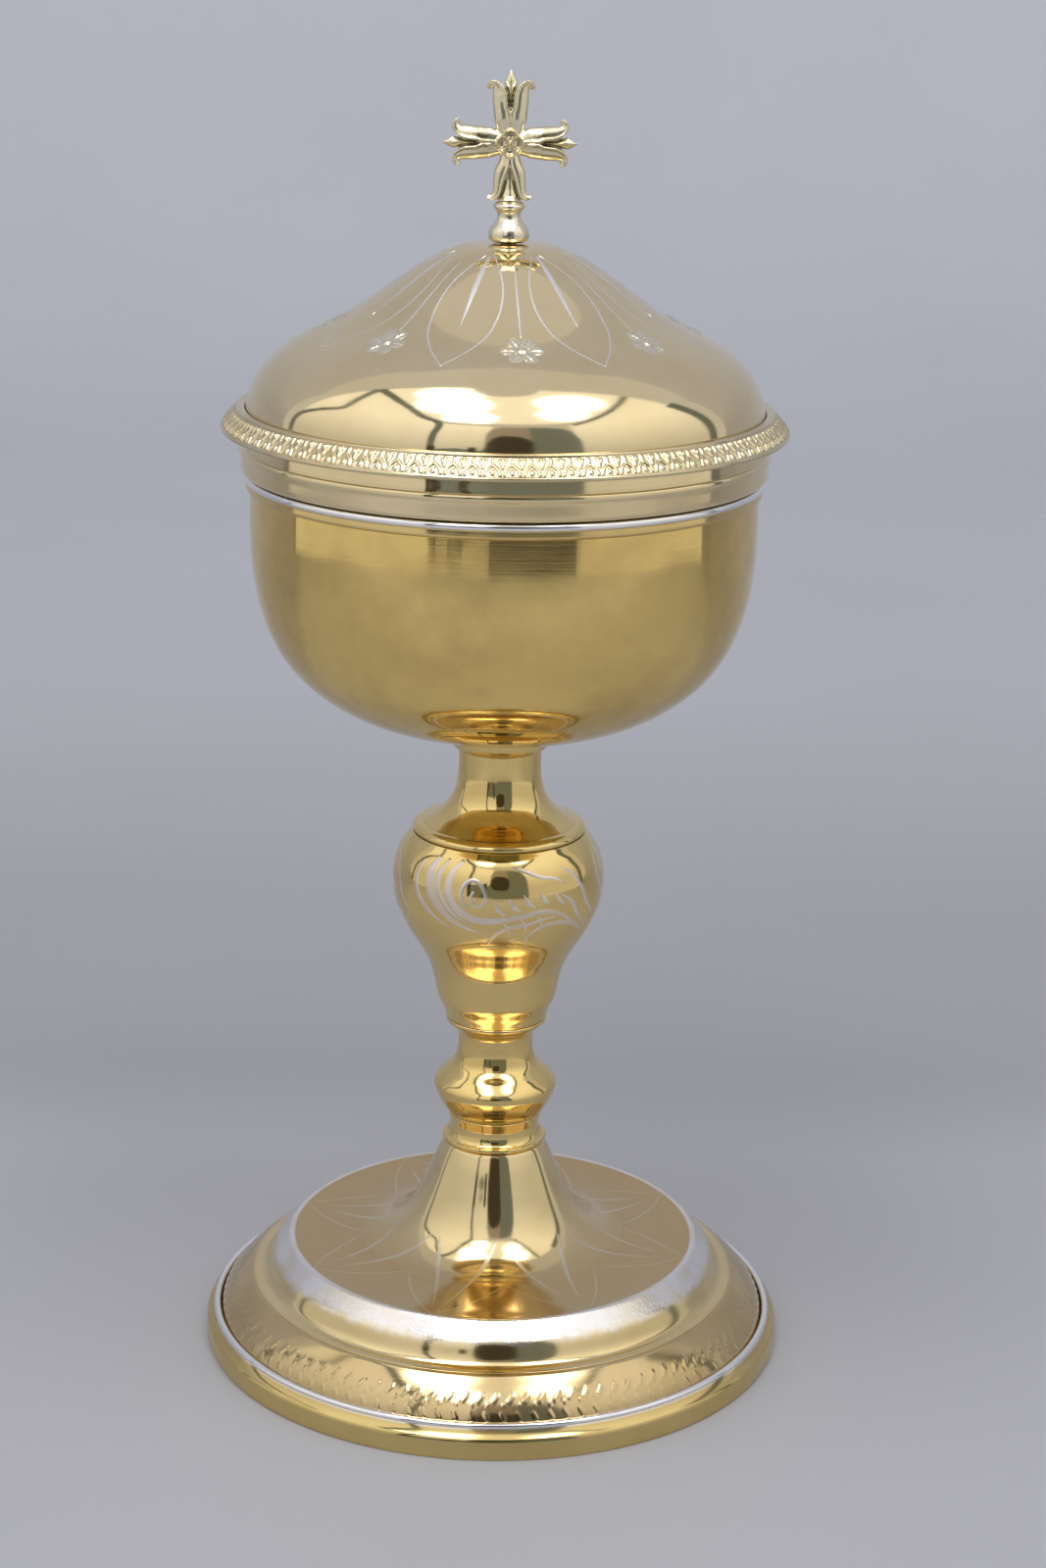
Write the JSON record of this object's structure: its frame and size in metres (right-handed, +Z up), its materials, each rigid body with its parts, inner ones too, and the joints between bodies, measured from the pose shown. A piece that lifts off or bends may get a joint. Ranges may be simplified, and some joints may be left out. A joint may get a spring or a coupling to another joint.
{
  "type": "ciborium",
  "caption": "Gilt brass church ciborium: turned stem with pear-shaped knop on a stepped round foot, round cup, and a domed lid with a cast lily cross",
  "frame": {"origin": "middle of the foot's underside, on the surface the vessel stands on", "axes": "+Z up along the stem to the cross, +X along the cross's right arm, +Y away from the side that the picture was taken from"},
  "size_m": [0.13, 0.13, 0.2802],
  "materials": {
    "yellow_gold": "gilt and polished, with faint turning lines",
    "pale_gold": "pale gilt, polished and engraved",
    "silvery_gold": "cast, silvery gilt, dark in its grooves",
    "plain_brass": "plain machined brass, hidden inside"
  },
  "bodies": {
    "stand": {"foot_base_ring": "yellow_gold", "foot_border": "pale_gold", "foot_shell": "pale_gold", "foot_washer": "plain_brass", "foot_nut": "plain_brass", "tie_rod": "plain_brass", "lower_collar": "yellow_gold", "lower_knop": "yellow_gold", "knop_foot_ring": "yellow_gold", "knop": "yellow_gold", "knop_top_ring": "yellow_gold", "neck": "yellow_gold", "cup_socket": "plain_brass", "cup": "yellow_gold", "cup_bead": "silvery_gold"},
    "lifter": {"finial_washer": "plain_brass"},
    "lid": {"lid_skirt": "pale_gold", "lid_border": "silvery_gold", "lid_dome": "pale_gold", "finial_nut": "plain_brass", "finial_stud": "plain_brass", "finial_baluster": "silvery_gold", "finial_cross": "silvery_gold"}
  },
  "joints": [
    {"name": "lid_lift", "type": "slide", "parent": "stand", "child": "lifter", "axis": [0, 0, 1], "range_m": [0, 0.15]},
    {"name": "lid_turn", "type": "hinge", "parent": "lifter", "child": "lid", "pos_m": [0, 0, 0.2441], "axis": [0, 0, 1], "continuous": true}
  ]
}
